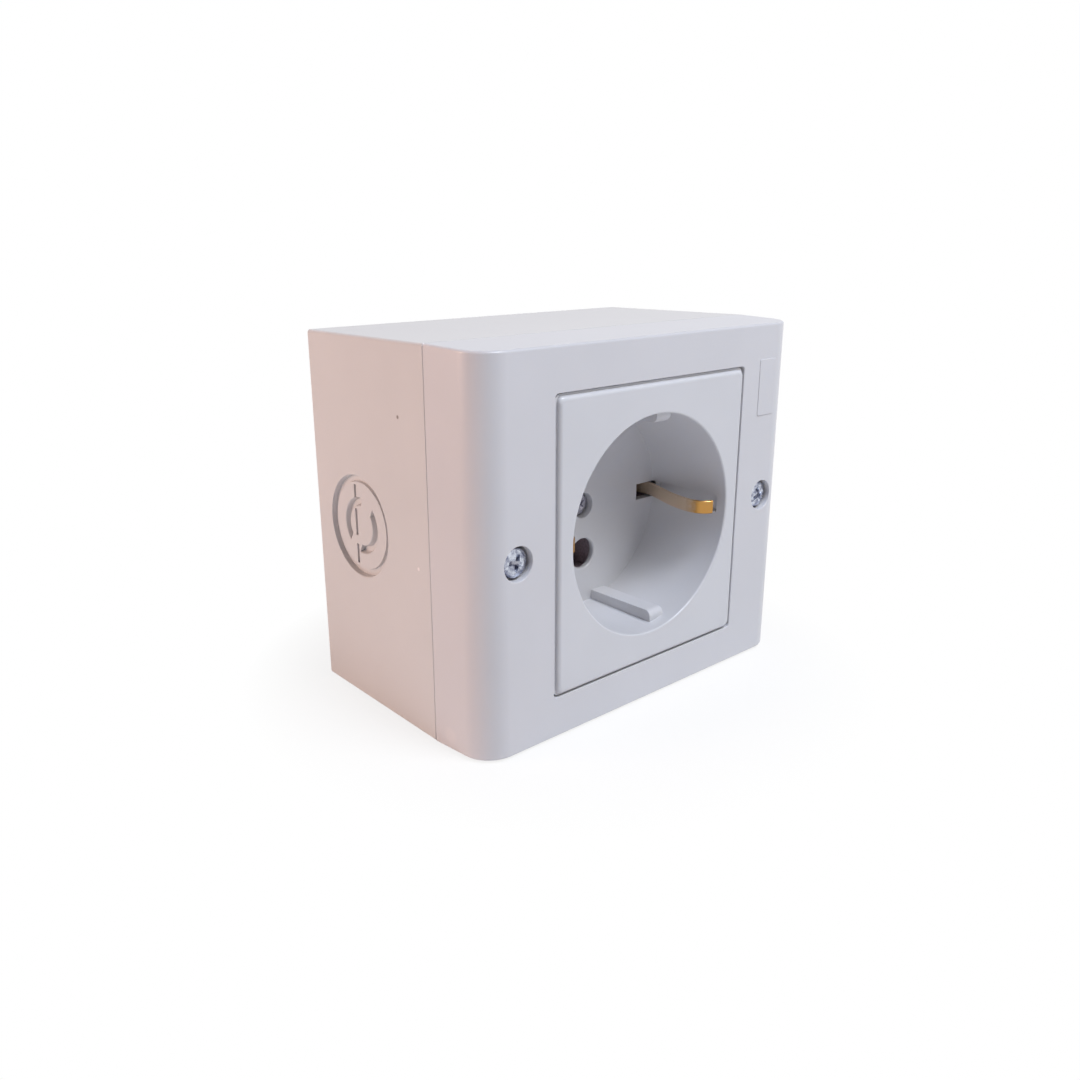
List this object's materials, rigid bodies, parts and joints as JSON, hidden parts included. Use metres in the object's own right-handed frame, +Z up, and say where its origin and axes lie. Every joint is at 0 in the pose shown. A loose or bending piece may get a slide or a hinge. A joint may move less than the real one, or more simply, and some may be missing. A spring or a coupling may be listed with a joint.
{
  "type": "surface mounted socket",
  "caption": "White surface mounted mains socket with a round plug well, side earth clips, cover screws and round cable knock-outs.",
  "frame": {"origin": "centre of the back face that lies on the wall", "axes": "+X to the right seen from the front, +Y into the wall, +Z up"},
  "size_m": [0.0778, 0.0486, 0.0666],
  "materials": {
    "white_abs": "satin gloss moulded",
    "grey_resin": "matte moulded",
    "brass_sheet": "rolled sheet",
    "zinc_steel": "bright zinc plated"
  },
  "bodies": {
    "root": {"back_box": "white_abs", "front_cover": "white_abs", "socket_plate": "white_abs", "contact_base": "grey_resin", "live_contact": "brass_sheet", "neutral_contact": "brass_sheet", "earth_strap": "brass_sheet", "live_clamp_plate": "zinc_steel", "neutral_clamp_plate": "zinc_steel", "earth_clamp_plate": "zinc_steel", "live_terminal_screw": "zinc_steel", "neutral_terminal_screw": "zinc_steel", "earth_terminal_screw": "zinc_steel", "cover_screw_left": "zinc_steel", "cover_screw_right": "zinc_steel", "cover_insert_left": "brass_sheet", "cover_insert_right": "brass_sheet", "plate_screw": "zinc_steel", "plate_nut": "zinc_steel", "base_screw_upper": "zinc_steel", "base_screw_lower": "zinc_steel"}
  },
  "joints": []
}
